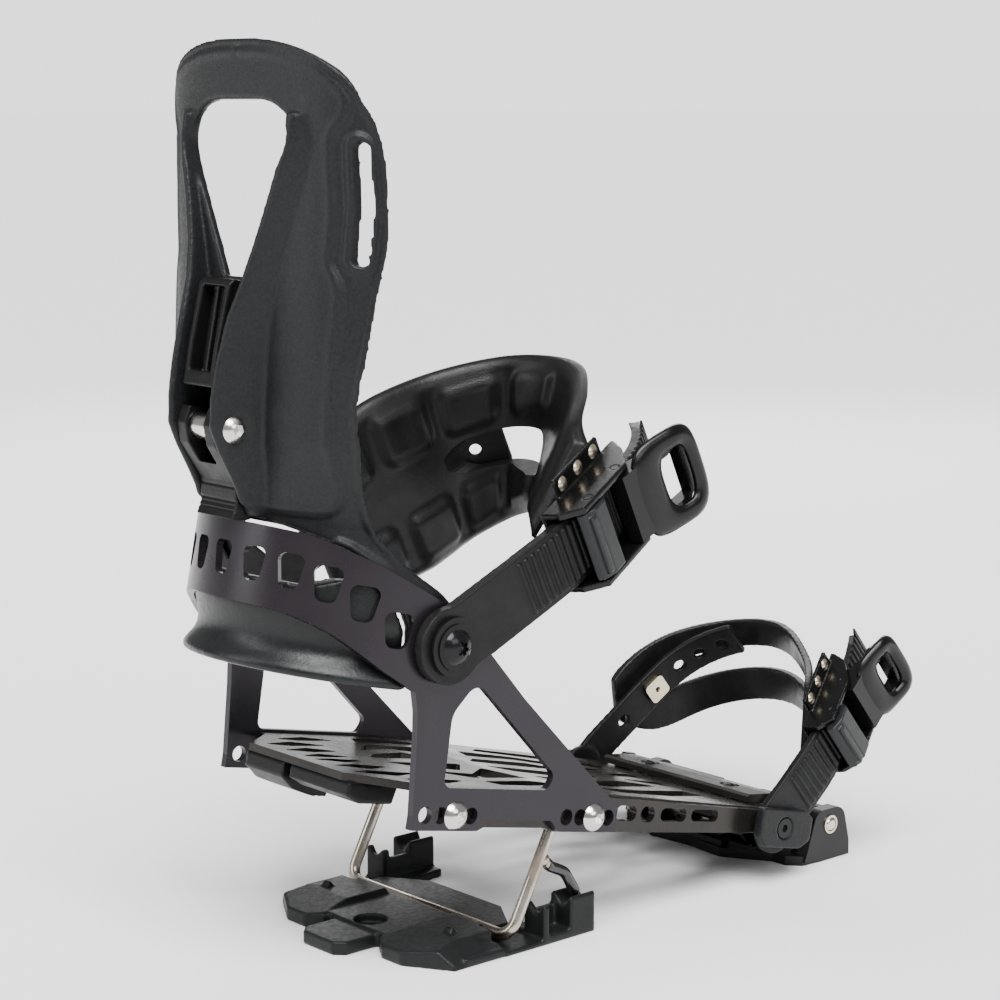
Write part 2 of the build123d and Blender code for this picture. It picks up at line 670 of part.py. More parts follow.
def back_side_view():
    """Side view of the highback: pivot ears, wing edges, lower edge."""
    wing = Spline((-228.6, 71), (-236, 81), (-252, 89.3), (-262, 96.2), (-272, 106), (-279, 117),
                  (-285, 129), (-289.5, 142), (-291.5, 155), (-291.9, 170), (-292.2, 186),
                  (-292.0, 195), (-292.6, 204), (-295.0, 214), (-298.2, 226), (-303, 239), (-310, 249.6))
    edge = [tuple(wing @ (i / 40))[:2] for i in range(41)]
    ear = [(-250.5, 62), (-247.5, 56.6), (-242, 53.6), (-236, 53.8), (-230.6, 57.2), (-227.9, 63)]
    beyond = [(-316, 262), (-316, 275), (-345, 275), (-345, 100)]
    hem = [(-290, 100), (-284, 97.8), (-275, 94.6), (-266, 89), (-257.5, 80), (-252, 70)]
    return ear + edge + beyond + hem


def back_front_view():
    """Rear view: domed top edge."""
    dome = Spline((0, 268.2), (20, 267.5), (34.5, 264.7), (44.5, 260.8), (52.5, 255.1),
                  (57.4, 247.5), (60.2, 239), (61.8, 227), (62.4, 215))
    half = [tuple(dome @ (i / 20))[:2] for i in range(21)] + [(66, 200), (66, 40), (0, 40)]
    return half + [(-v, w) for v, w in reversed(half[1:-1])]


def teardrop():
    half = [(8, 247.9), (17, 247.2), (23.5, 244.8), (29, 240), (31, 234), (28.5, 226),
            (22.5, 215.5), (15.5, 203), (10, 193), (6.5, 185.5)]
    right = Spline(*[(-345, v, w) for v, w in half])
    left = Spline(*[(-345, -v, w) for v, w in half])
    caps = [Line(right @ 0, left @ 0), Line(right @ 1, left @ 1)]
    return extrude(make_face(Curve() + [right, left] + caps), amount=60, dir=(1, 0, 0))


def wing_slot(side):
    points = [(52.6, 237), (57.2, 235.4), (57.9, 214), (56.0, 194), (51.4, 193), (53.2, 214)]
    line = FilletPolyline(*[(-330, side * v, w) for v, w in points], radius=2.2, close=True)
    return extrude(make_face(line.edges()), amount=50, dir=(1, 0, 0))


RIB_ROWS = [               # height, crest u, crest v, where its outer slope meets the shell
    (101.2, -300.2, 13.6, 15.2),
    (107, -305.0, 13.6, 15.8),
    (114, -310.0, 13.6, 16.4),
    (122.5, -317.0, 13.6, 17.0),
    (130, -322.0, 13.6, 17.6),
    (140, -323.7, 13.7, 18.2),
    (153, -324.0, 14.2, 19.2),
    (170, -322.9, 15.2, 21.0),
    (183, -320.9, 17.4, 23.6),
    (197, -320.2, 20.8, 28.2),
    (211, -320.6, 25.0, 33.6),
    (224, -321.6, 29.2, 38.4),
    (234, -322.0, 31.6, 40.8),
    (243, -322.4, 31.6, 39.6),
]
RIB_WALL = 1.9


def back_surface(v, height):
    """Position u of the highback's outer skin."""
    rows = [row for row in BACK_SECTIONS if row[0] <= height]
    low = rows[-1]
    high = BACK_SECTIONS[len(rows)]
    share = (height - low[0]) / (high[0] - low[0])
    rear, side_u, half, power = [a + share * (b - a) for a, b in zip(low[1:], high[1:])]
    return side_u - (side_u - rear) * (1 - (abs(v) / half) ** power) ** (1 / power)


def back_rib(side):
    """Spine rib: a wall along the lean channel that spreads into the rim of the window."""
    sections = []
    for height, crest_u, crest_v, base_v in RIB_ROWS:
        inner_v = crest_v - RIB_WALL
        crest_u = min(crest_u, back_surface(crest_v, height) - 0.3)
        corners = [(crest_u, side * inner_v, height), (crest_u, side * (crest_v + 0.5), height),
                   (back_surface(base_v, height) + 0.7, side * base_v, height),
                   (back_surface(inner_v, height) + 1.7, side * inner_v, height)]
        sections.append(Wire(Polyline(*corners, close=True).edges()))
    rib = Part() + Solid.make_loft(sections, ruled=True)
    rib += rod_y(6.2, *sorted((side * 11.8, side * 15.4)), BARREL_U, BARREL_W)
    return rib - rod_y(5.6, *sorted((side * 15.4, side * 24)), BARREL_U, BARREL_W)


def highback():
    shell = back_skin(0) - back_skin(BACK_T)
    view = side_prism(back_side_view(), -70, 70)
    front = front_prism(back_front_view(), -345, -215)
    shell = shell & view & front
    for side in SIDES:
        shell += back_rib(side)
    shell -= teardrop()
    for side in SIDES:
        shell -= wing_slot(side)
        shell -= rod_y(STUD_R + RUN_FIT, *sorted((side * 45, side * 62)), ANKLE_U, ANKLE_W)
    shell -= rod_y(3.05, -20, 20, BARREL_U, BARREL_W)
    return shell.solids().sort_by(SortBy.VOLUME)[-1]


def lean_barrel():
    """Barrel nut between the spine ribs that the lean stop turns on."""
    barrel = rod_y(BARREL_R, -11.5, 11.5, BARREL_U, BARREL_W)
    return barrel - rod_y(3.0, -11.5, 11.5, BARREL_U, BARREL_W)


def lean_screws():
    screws = []
    for side in SIDES:
        head = dome_y(5.0, 3.0, side * 15.45, side, BARREL_U, BARREL_W)
        head -= hex_socket_y(4.0, 2.0, side * 18.45, side, BARREL_U, BARREL_W)
        screws.append(head + rod_y(3.0, *sorted((side * 1.0, side * 15.45)), BARREL_U, BARREL_W))
    return screws


def lean_stop():
    """Ribbed foot that hangs from the barrel and bears on the heel cup's top edge."""
    arm = [(BARREL_U - 5.6, 137.4), (BARREL_U - 6.8, 131), (BARREL_U - 4, 124), (-306.2, 112),
           (-304.6, 104), (-305.4, 99.05), (-299.6, 99.05), (-297.4, 99.9), (-297.6, 104),
           (-299.5, 114), (-305.6, 125), (BARREL_U + 6.2, 132), (BARREL_U + 5, 137)]
    foot = side_prism(arm, -11.2, 11.2)
    foot -= rod_y(BARREL_R + 0.05, -12, 12, BARREL_U, BARREL_W)
    foot -= box(-330, -300, -5.4, 5.4, 118, 140)
    for i in range(7):
        foot -= box(-307.5, -304.2, -12, 12, 101.6 + 1.7 * i, 102.3 + 1.7 * i)
    return foot.solids().sort_by(SortBy.VOLUME)[-1]


def lean_clip():
    """Long spring clip in the channel above the barrel."""
    section = [(-312.2, 184), (-318.6, 184), (-320.6, 182), (-321.6, 160), (-321.4, 144.6),
               (-316.8, 144.6), (-310.6, 160)]
    clip = side_prism(section, -9.4, 9.4)
    clip -= box(-330, -315.0, -6.6, 6.6, 150, 181)
    clip += box(-319.0, -317.2, -1.0, 1.0, 146, 182)
    clip -= back_skin(-0.05)
    return clip.solids().sort_by(SortBy.VOLUME)[-1]


# ================================================================ ankle strap
def ladder(points, thickness, half_width, root_r, hole_r, ribs, rib_pitch, rib_height, tail):
    """Ladder strap in strap coordinates: round root, ribbed run, tapered tail."""
    strap = extrude(band_face(points, thickness), amount=2 * half_width).translate((0, 0, -half_width))
    end = points[-1][0]
    edge = [(0, half_width), (tail, half_width), (end - 6, half_width * 0.72), (end + 8, half_width * 0.4)]
    keep = side_prism(edge + [(s, -z) for s, z in reversed(edge)], -80, 10)
    keep += rod_y(root_r, -80, 10, 0, 0)
    strap = strap & keep
    root_v = points[0][1]
    strap += rod_y(root_r, root_v - thickness / 2, root_v + thickness / 2, 0, 0)
    middle = Spline(*points)
    for i in range(ribs[1] - ribs[0]):
        at = (ribs[0] + i) * rib_pitch / middle.length
        p, d = middle @ at, middle % at
        turn = math.degrees(math.atan2(d.Y, d.X))
        tooth = Box(rib_pitch * 0.5, rib_height, 2 * half_width - 5).rotate(Axis.Z, turn)
        out = Vector(d.Y, -d.X, 0) * (thickness / 2 + rib_height / 2 - 0.15)
        strap += tooth.translate(tuple(p + out))
    strap -= rod_y(hole_r, -80, -40, 0, 0)
    return strap


ANKLE_LINE = [(-14.5, -62.6), (10, -62.6), (35, -62.6), (52, -62.5), (60, -62.15), (68, -61.1),
              (78, -58.75), (88, -56.2), (98, -53.7), (110, -50.65), (120, -47.2), (130, -41.6),
              (138, -34.6), (145, -26)]
TOE_BACK_LINE = [(0, 58.7), (16, 58.5), (30, 56.3), (42, 54.6), (54, 52.4), (64, 49.6), (74, 44.2),
                 (82, 36.5), (88, 27)]
TOE_LINE = [(-12, -58.7), (8, -58.7), (24, -58.7), (34, -58.5), (42, -57.6), (50, -55.7),
            (60, -52.85), (70, -50.0), (80, -47.1), (89, -43.5), (98, -38)]


def ankle_ladder():
    return ankle_loop(ladder(ANKLE_LINE, 4.4, 13.2, 14.4, STUD_R + RUN_FIT, (15, 46), 3.6, 1.1, 70))


def toe_ladder():
    return toe_loop(ladder(TOE_LINE, 3.0, 12.0, 11.5, 2.5 + RUN_FIT, (9, 36), 3.4, 1.0, 46))


def holed_strap(points, thickness, half_width, root_r, hole_r, holes):
    strap = extrude(band_face(points, thickness), amount=2 * half_width).translate((0, 0, -half_width))
    root_v = points[0][1]
    strap += rod_y(root_r, root_v - thickness / 2, root_v + thickness / 2, 0, 0)
    strap -= rod_y(hole_r, 40, 80, 0, 0)
    middle = Spline(*points)
    for at in holes:
        p, d = middle @ at, middle % at
        pin = Plane(p, z_dir=(-d.Y, d.X, 0)) * Circle(2.6)
        strap -= extrude(pin, amount=6, both=True)
    return strap


def ankle_backstrap():
    line = [(0, 62.4), (40, 62.4), (62, 61.8), (84, 60.0), (100, 58.4), (111, 55.6), (120.4, 49.4),
            (130.6, 39.8)]
    return ankle_loop(holed_strap(line, 2.8, 9.0, 13.5, STUD_R + RUN_FIT, (0.62, 0.76, 0.9)))


def toe_backstrap():
    strap = holed_strap(TOE_BACK_LINE, 2.8, 8.4, 11.0, 2.5 + RUN_FIT, (0.31, TOE_NUT_AT, 0.69, 0.80, 0.92))
    return toe_loop(strap)


ANKLE_UPPER = [(-226, 60.3, 112), (-212.7, 58.5, 134), (-198, 56, 149.5), (-171, 51, 164.5),
               (-148, 34, 176), (-139, 12, 179), (-143, -8, 176), (-155, -25, 166), (-168, -38, 154),
               (-171, -47, 145)]
ANKLE_LOWER = [(-193.3, 60.3, 66.8), (-168.6, 58, 75), (-150, 56, 84), (-131.7, 54, 98.5), (-126, 40, 109),
               (-130, 22, 114.5), (-143, 4, 117), (-160, -13, 117), (-177, -29, 114), (-187, -42, 107)]
TOE_UPPER = [(-27.9, 62, 41.2), (-14.2, 60.5, 56.2), (3.8, 54, 67.9), (19.7, 40, 75.6), (25.2, 21, 79.2),
             (17.5, -3, 77.2), (3.9, -24, 70.5), (-9, -39.5, 63.7), (-18, -48, 57.9)]
TOE_LOWER = [(-21.8, 62, 25.1), (-2.1, 60.5, 19.8), (15.9, 55, 26.4), (29.8, 41, 37), (34.4, 19, 43),
             (26.7, -7, 43.8), (14.1, -29, 39.3), (-2, -42.5, 30.6), (-14, -49, 23.5)]
TOE_CAP_T = 3.4


def ankle_pad():
    pad = lofted_band(ANKLE_UPPER, ANKLE_LOWER, 5.0)
    slot = box(104, 150, 8, 50, -6.3, 8.4)
    return (Part() + pad - ankle_loop(slot)) & box(-280, -80, -60.6, 60.4, 40, 220)


def between(upper, lower, share):
    """Line of points at a given share of the way from the upper to the lower edge."""
    return [tuple(a + share * (b - a) for a, b in zip(p, q)) for p, q in zip(upper, lower)]


def toe_cap():
    """Two bands round the boot's toe, joined at both ends."""
    cap = lofted_band(TOE_UPPER, TOE_LOWER, TOE_CAP_T)
    top = between(TOE_UPPER, TOE_LOWER, 0.33)[1:-1]
    bottom = between(TOE_UPPER, TOE_LOWER, 0.60)[1:-1]
    return Part() + cap - lofted_band(top, bottom, TOE_CAP_T + 6, -3)


def buckle_frame(length, half, wall, depth, floor, nose):
    """Open channel with a rounded nose; the ladder runs through it along X."""
    x = length / 2
    side_view = [(-x, floor + 1.8), (-x, -2.5), (-x + 5, -depth), (x - 12, -depth), (x, -3.0),
                 (x + nose, floor + 0.2), (x + nose, floor + 1.8)]
    cheek = extrude(make_face(Polyline(*side_view, close=True).edges()), amount=wall)
    frame = cheek.translate((0, 0, half - wall)) + cheek.translate((0, 0, -half))
    return frame + Pos(nose / 2, floor + 0.9, 0) * Box(length + nose, 1.8, 2 * half)


def pinned(shape, spots, radius):
    for x, y in spots:
        shape -= Pos(x, y, 0) * Cylinder(radius, 60)
    return shape


def flange(length, half, floor, reach):
    return Pos(4, floor + 0.9, half + reach / 2 - 0.05) * Box(length, 1.8, reach + 0.1)


ANKLE_PINS = ((10.0, -8.0), (-12.0, -8.4))
TOE_PINS = ((7.0, -6.6), (-9.5, -7.0))


def ankle_buckle_frame():
    frame = buckle_frame(50, 17.2, 2.6, 11.5, 3.9, 6) + flange(34, 17.2, 3.9, 7.5)
    for i in range(3):
        frame -= Pos(-8 + 12 * i, 4.8, 20.8) * Rot(90, 0, 0) * Cylinder(1.6, 6)
    return ankle_buckle(pinned(frame, ANKLE_PINS, 1.6))


def toe_buckle_frame():
    frame = buckle_frame(38, 15.0, 2.2, 9.0, 3.0, 4) + flange(28, 15.0, 3.0, 6.5)
    for i in range(3):
        frame -= Pos(-5.5 + 9.5 * i, 3.9, 18.2) * Rot(90, 0, 0) * Cylinder(1.3, 6)
    return toe_buckle(pinned(frame, TOE_PINS, 1.4))


def rivets(count, x0, step, floor, z, radius, shank):
    """Domed rivets through the buckle's flange, outward being -Y."""
    made = []
    for i in range(count):
        head = dome_y(radius, 1.2, floor, -1, x0 + step * i, z)
        made.append(head + rod_y(shank, floor, floor + 1.8, x0 + step * i, z))
    return made


def ankle_rivets():
    return [ankle_buckle(r) for r in rivets(3, -8, 12, 3.9, 20.8, 3.0, 1.6)]


def toe_rivets():
    return [toe_buckle(r) for r in rivets(3, -5.5, 9.5, 3.0, 18.2, 2.6, 1.3)]


def buckle_pins(spots, half, radius):
    return [Pos(x, y, 0) * Cylinder(radius, 2 * half) for x, y in spots]


def across_buckle(outline, half):
    """Prism of a lever's side view, centred across the buckle."""
    return extrude(make_face(Polyline(*outline, close=True).edges()), amount=half, both=True)


def ratchet_lever(pin, half, reach, lift, hole, fit):
    """Cam nose at the pin, two arms and a wide thumb loop."""
    px, py = pin
    outline = [(px - 4.2, py + 0.8), (px - 3.5, py - 4.6), (px + 6, py - 6.4),
               (px + reach * 0.55, py - lift * 0.62 - 4.6), (px + reach, py - lift),
               (px + reach - 1.6, py - lift + 3.0), (px + reach * 0.5, py - lift * 0.5 + 0.6),
               (px + 8, py + 1.6), (px + 2, py + 3.4), (px - 2.6, py + 3.2)]
    lever = across_buckle(outline, half)
    x0, x1 = px + reach * 0.36, px + reach - 8
    window = Pos((x0 + x1) / 2, py - lift / 2, 0) * Box(x1 - x0, 40, 2 * half - 8)
    lever = (lever - window) & top_view_trim(px, reach, half)
    return lever - Pos(px, py, 0) * Cylinder(hole + fit, 60)


def top_view_trim(px, reach, half):
    """Plan outline of a lever: parallel cheeks and rounded thumb end."""
    points = [(px - 9, -half), (px + reach * 0.7, -half), (px + reach + 1, -half * 0.62),
              (px + reach + 1, half * 0.62), (px + reach * 0.7, half), (px - 9, half)]
    return side_prism(points, -60, 40)


def release_lever(pin, half, hole, fit, pawl):
    px, py = pin
    outline = [(px - 9.5, py + 1.0), (px - 8.6, py - 2.2), (px - 3, py - 4.4), (px + 4, py - 4.2),
               (px + 5.6, py - 1.6), (px + 4.4, py + 3.4), (px + 1.0, py + pawl), (px - 2.0, py + 3.2)]
    grip = Pos(px - 6.2, py - 3.9, 0) * Box(3.2, 2.2, 2 * half - 4)
    return across_buckle(outline, half) + grip - Pos(px, py, 0) * Cylinder(hole + fit, 60)


def strap_nut(size, length):
    plate = Box(size, 2.0, size)
    plate = fillet(plate.edges().filter_by(Axis.Y), size * 0.2)
    boss = Pos(0, 0.99 + length / 2, 0) * Rot(90, 0, 0) * Cylinder(2.5, length)
    bore = Pos(0, 0, 0) * Rot(90, 0, 0) * Cylinder(1.3, 20)
    return plate + boss - bore


def toe_strap_nut():
    """Square nut that clamps the toe cap to its back strap."""
    middle = Spline(*TOE_BACK_LINE)
    p, d = middle @ TOE_NUT_AT, middle % TOE_NUT_AT
    turn = math.degrees(math.atan2(d.Y, d.X))
    nut = strap_nut(10.5, 1.6).rotate(Axis.Z, turn)
    inward = Vector(d.Y, -d.X, 0) * TOE_NUT_DEPTH
    return toe_loop(nut.translate(tuple(p + inward)))


# ================================================================ write every node
def main():
    os.makedirs("parts", exist_ok=True)
    save("touring_bracket", touring_bracket())
    save("bracket_bushings", *bracket_bushings())
    save("heel_rest", heel_rest())
    save("climbing_wire", climbing_wire())
    save("wire_tab", wire_tab())
    save("tab_grip", tab_grip())
    save("baseplate", at_pins(baseplate()))
    save("toe_block", at_pins(toe_block()))
    save("toe_pin_left", at_pins(toe_pin(1)))
    save("toe_pin_right", at_pins(toe_pin(-1)))
    save("toe_ramp", at_pins(toe_ramp()))
    save("ramp_screws", *[at_pins(s) for s in ramp_screws()])
    save("ramp_hinge_pin", at_pins(ramp_pin()))
    save("rail_screws", *[at_pins(s) for s in rail_screws()])
    save("rail_nuts", *[at_pins(s) for s in rail_nuts()])
    save("heel_cup", at_pins(heel_cup()))
    save("heel_cradle", at_pins(heel_cradle()))
    catch, block = heel_latch()
    save("heel_catch", at_pins(catch))
    save("heel_stop_block", at_pins(block))
    save("toe_strap_mounts", *[at_pins(s) for s in toe_strap_mounts()])
    save("toe_strap_screws", *[at_pins(s) for s in toe_strap_screws()])
    save("ankle_screws", *[at_pins(s) for s in ankle_screws()])
    save("ankle_washers", *[at_pins(s) for s in ankle_washers()])
    save("ankle_nuts", *[at_pins(s) for s in ankle_nuts()])
    save("highback", at_pins(highback()))
    save("lean_barrel", at_pins(lean_barrel()))
    save("lean_screws", *[at_pins(s) for s in lean_screws()])
    save("lean_stop", at_pins(lean_stop()))
    save("lean_clip", at_pins(lean_clip()))
    save("ankle_ladder", at_pins(ankle_ladder()))
    save("ankle_backstrap", at_pins(ankle_backstrap()))
    save("ankle_pad", at_pins(ankle_pad()))
    save("ankle_buckle_frame", at_pins(ankle_buckle_frame()))
    save("ankle_rivets", *[at_pins(s) for s in ankle_rivets()])
    save("ankle_buckle_pins", *[at_pins(ankle_buckle(s)) for s in buckle_pins(ANKLE_PINS, 17.2, 1.6)])
    ankle_lever = ratchet_lever(ANKLE_PINS[0], 14.2, 37, 9.5, 1.6, PIN_FIT)
    ankle_release = release_lever(ANKLE_PINS[1], 14.2, 1.6, PIN_FIT, 5.0)
    save("ankle_ratchet_lever", at_pins(ankle_buckle(ankle_lever)))
    save("ankle_release_lever", at_pins(ankle_buckle(ankle_release)))
    save("toe_ladder", at_pins(toe_ladder()))
    save("toe_backstrap", at_pins(toe_backstrap()))
    save("toe_cap", at_pins(toe_cap()))
    save("toe_strap_nut", at_pins(toe_strap_nut()))
    save("toe_buckle_frame", at_pins(toe_buckle_frame()))
    save("toe_rivets", *[at_pins(s) for s in toe_rivets()])
    save("toe_buckle_pins", *[at_pins(toe_buckle(s)) for s in buckle_pins(TOE_PINS, 15.0, 1.4)])
    toe_lever = ratchet_lever(TOE_PINS[0], 12.4, 29, 8, 1.4, PIN_FIT)
    toe_release = release_lever(TOE_PINS[1], 12.4, 1.4, PIN_FIT, 4.2)
    save("toe_ratchet_lever", at_pins(toe_buckle(toe_lever)))
    save("toe_release_lever", at_pins(toe_buckle(toe_release)))


if __name__ == "__main__":
    main()
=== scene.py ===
import json
import math

import bmesh
import bpy
import numpy as np
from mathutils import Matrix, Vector
from mathutils.kdtree import KDTree


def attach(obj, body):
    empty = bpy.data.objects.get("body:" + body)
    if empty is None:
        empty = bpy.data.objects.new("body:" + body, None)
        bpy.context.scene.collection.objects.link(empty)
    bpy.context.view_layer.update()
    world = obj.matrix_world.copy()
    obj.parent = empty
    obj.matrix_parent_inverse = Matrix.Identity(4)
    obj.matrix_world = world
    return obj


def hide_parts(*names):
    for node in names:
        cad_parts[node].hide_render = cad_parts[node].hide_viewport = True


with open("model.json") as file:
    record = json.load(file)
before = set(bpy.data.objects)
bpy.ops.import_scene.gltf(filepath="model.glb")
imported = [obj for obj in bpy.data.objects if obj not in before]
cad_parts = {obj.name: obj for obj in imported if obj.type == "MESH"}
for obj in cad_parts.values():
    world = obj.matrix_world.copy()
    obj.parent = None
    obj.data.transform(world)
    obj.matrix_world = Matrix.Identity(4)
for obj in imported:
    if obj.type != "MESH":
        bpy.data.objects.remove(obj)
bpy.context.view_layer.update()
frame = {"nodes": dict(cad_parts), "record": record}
nodes = frame["nodes"]

PITCH = math.radians(11.6)
PIN_Z = 15.5


def row(u, v, w):
    """Level binding frame in millimetres to the row frame in metres."""
    return Vector((u * math.cos(PITCH) + w * math.sin(PITCH), v,
                   PIN_Z - u * math.sin(PITCH) + w * math.cos(PITCH))) / 1000


# ------------------------------------------------------------------ materials
class Mat:
    """Node material with a few procedural layers."""

    def __init__(self, name, colour, rough, metal=0.0, spec=0.5):
        self.mat = bpy.data.materials.new(name)
        self.mat.use_nodes = True
        self.tree = self.mat.node_tree
        self.shader = self.tree.nodes["Principled BSDF"]
        self.colour, self.rough = colour, rough
        self.put("Base Color", (*colour, 1))
        self.put("Roughness", rough)
        self.put("Metallic", metal)
        self.put("Specular IOR Level", spec)
        self.coords = self.tree.nodes.new("ShaderNodeTexCoord").outputs["Object"]
        self.height = None

    def put(self, socket, value):
        self.shader.inputs[socket].default_value = value

    def link(self, a, b):
        self.tree.links.new(a, b)

    def stretch(self, scale):
        node = self.tree.nodes.new("ShaderNodeMapping")
        node.inputs["Scale"].default_value = scale
        self.link(self.coords, node.inputs["Vector"])
        return node.outputs["Vector"]

    def noise(self, scale, detail=3.0, stretch=(1, 1, 1)):
        node = self.tree.nodes.new("ShaderNodeTexNoise")
        node.inputs["Scale"].default_value = scale
        node.inputs["Detail"].default_value = detail
        self.link(self.stretch(stretch), node.inputs["Vector"])
        return node.outputs["Fac"]

    def ramp(self, factor, low, high):
        node = self.tree.nodes.new("ShaderNodeMapRange")
        node.inputs["From Min"].default_value = 0.3
        node.inputs["From Max"].default_value = 0.7
        node.inputs["To Min"].default_value = low
        node.inputs["To Max"].default_value = high
        self.link(factor, node.inputs["Value"])
        return node.outputs["Result"]

    def vary_rough(self, spread, scale=60.0, stretch=(1, 1, 1)):
        low, high = max(0.03, self.rough - spread), min(1, self.rough + spread)
        out = self.ramp(self.noise(scale, 4.0, stretch), low, high)
        self.link(out, self.shader.inputs["Roughness"])
        return self

    def vary_colour(self, other, scale=25.0, stretch=(1, 1, 1), amount=1.0):
        node = self.tree.nodes.new("ShaderNodeMix")
        node.data_type = "RGBA"
        node.inputs["A"].default_value = (*self.colour, 1)
        node.inputs["B"].default_value = (*other, 1)
        self.link(self.ramp(self.noise(scale, 4.0, stretch), 0, amount), node.inputs["Factor"])
        self.link(node.outputs["Result"], self.shader.inputs["Base Color"])
        return self

    def bump(self, scale, depth, detail=2.0, stretch=(1, 1, 1)):
        node = self.tree.nodes.new("ShaderNodeBump")
        node.inputs["Distance"].default_value = depth
        node.inputs["Strength"].default_value = 0.6
        self.link(self.noise(scale, detail, stretch), node.inputs["Height"])
        if self.height:
            self.link(self.height, node.inputs["Normal"])
        self.height = node.outputs["Normal"]
        self.link(self.height, self.shader.inputs["Normal"])
        return self


def coat(mat, weight, rough=0.1):
    mat.put("Coat Weight", weight)
    mat.put("Coat Roughness", rough)
    return mat


MATS = {
    "cup_anodised": Mat("cup_anodised", (0.0125, 0.0105, 0.0160), 0.30, 0.35, 0.42)
    .vary_colour((0.0165, 0.0125, 0.0155), 18).vary_rough(0.05).bump(1500, 0.00004),
    "plate_anodised": Mat("plate_anodised", (0.026, 0.024, 0.023), 0.24, 0.75)
    .vary_colour((0.042, 0.038, 0.034), 30).vary_rough(0.07, 40).bump(1500, 0.00004),
    "bracket_anodised": Mat("bracket_anodised", (0.012, 0.011, 0.012), 0.34, 0.4, 0.4).vary_rough(0.05)
    .bump(1500, 0.00004),
    "stainless": Mat("stainless", (0.66, 0.64, 0.61), 0.20, 1.0).vary_rough(0.06, 200).bump(700, 0.00002),
    "bar_steel": Mat("bar_steel", (0.56, 0.53, 0.49), 0.27, 1.0).vary_colour((0.40, 0.33, 0.26), 55)
    .vary_rough(0.08, 90).bump(600, 0.00004),
    "brass": Mat("brass", (0.72, 0.62, 0.47), 0.25, 1.0).vary_rough(0.06, 200).bump(700, 0.00002),
    "nylon": Mat("nylon", (0.0060, 0.0062, 0.0068), 0.42, 0.0, 0.20)
    .vary_colour((0.0110, 0.0114, 0.0124), 900).vary_rough(0.09, 700).bump(1600, 0.00022, 3),
    "rest_nylon": Mat("rest_nylon", (0.0062, 0.0068, 0.0070), 0.44, 0.0, 0.20)
    .vary_colour((0.0095, 0.0102, 0.0105), 60).vary_rough(0.08, 500).bump(1300, 0.00018, 3),
    "cradle_nylon": Mat("cradle_nylon", (0.0055, 0.0060, 0.0063), 0.34, 0.0, 0.26)
    .vary_colour((0.0085, 0.0092, 0.0096), 40).vary_rough(0.07, 400).bump(1100, 0.00012),
    "latch_nylon": Mat("latch_nylon", (0.0045, 0.0045, 0.0048), 0.36, 0.0, 0.18).vary_rough(0.07, 300)
    .bump(1300, 0.00010),
    "ladder_rubber": Mat("ladder_rubber", (0.0050, 0.0050, 0.0053), 0.42, 0.0, 0.18)
    .vary_colour((0.0080, 0.0080, 0.0083), 70).vary_rough(0.08, 300).bump(1500, 0.00014, 3),
    "strap_rubber": Mat("strap_rubber", (0.0046, 0.0046, 0.0048), 0.44, 0.0, 0.17)
    .vary_colour((0.0072, 0.0072, 0.0074), 60).vary_rough(0.08, 300).bump(1500, 0.00014, 3),
    "pad_fabric": Mat("pad_fabric", (0.0048, 0.0048, 0.0050), 0.36, 0.0, 0.20)
    .vary_colour((0.0072, 0.0072, 0.0075), 50).vary_rough(0.08, 220).bump(1300, 0.00016, 3),
    "buckle_gloss": coat(Mat("buckle_gloss", (0.003, 0.003, 0.0032), 0.27, 0.0, 0.22), 0.10, 0.10)
    .vary_rough(0.05, 120).bump(500, 0.00004),
    "buckle_grey": Mat("buckle_grey", (0.014, 0.0145, 0.0155), 0.32, 0.0, 0.25).vary_rough(0.06, 300)
    .bump(1100, 0.00008),
    "dip_vinyl": coat(Mat("dip_vinyl", (0.006, 0.006, 0.006), 0.24), 0.5).vary_rough(0.05, 100)
    .bump(300, 0.00008),
    "black_steel": Mat("black_steel", (0.008, 0.008, 0.009), 0.22, 0.4, 0.3).vary_rough(0.07, 200)
    .bump(500, 0.00003),
}

slot_of = {s["node"]: s["material_slot"] for s in frame["record"]["subparts"]}


def finish_mesh(obj, bevel=0.0, angle=35.0):
    """Soft edges: a small bevel on sharp corners, smooth shading elsewhere."""
    if bevel:
        mod = obj.modifiers.new("bevel", "BEVEL")
        mod.width = bevel
        mod.segments = 2
        mod.limit_method = "ANGLE"
        mod.angle_limit = math.radians(angle)
        mod.harden_normals = False
    for poly in obj.data.polygons:
        poly.use_smooth = True
    obj.data.set_sharp_from_angle(angle=math.radians(angle))


BEVELS = {"baseplate": 0.0004, "heel_cup": 0.0004, "touring_bracket": 0.0006, "toe_block": 0.0006,
          "toe_ramp": 0.0005, "ankle_ratchet_lever": 0.0012, "toe_ratchet_lever": 0.0010}
for name, obj in nodes.items():
    obj.data.materials.clear()
    obj.data.materials.append(MATS[slot_of[name]].mat)
    finish_mesh(obj, BEVELS.get(name, 0.0))


# ------------------------------------------------------------------ shape helpers
def ease(x):
    """Smooth step from 0 to 1, for a number or an array."""
    x = np.clip(x, 0, 1)
    return x * x * (3 - 2 * x)


def smooth_line(points, count):
    """Catmull-Rom curve through the points, sampled evenly in parameter."""
    pts = [Vector(p) for p in points]
    pts = [pts[0] * 2 - pts[1]] + pts + [pts[-1] * 2 - pts[-2]]
    out = []
    for i in range(count):
        t = i / (count - 1) * (len(pts) - 3)
        k = min(int(t), len(pts) - 4)
        f = t - k
        a, b, c, d = pts[k:k + 4]
        out.append(0.5 * ((b * 2) + (c - a) * f + (a * 2 - b * 5 + c * 4 - d) * f * f
                          + (b * 3 - a - c * 3 + d) * f ** 3))
    return out


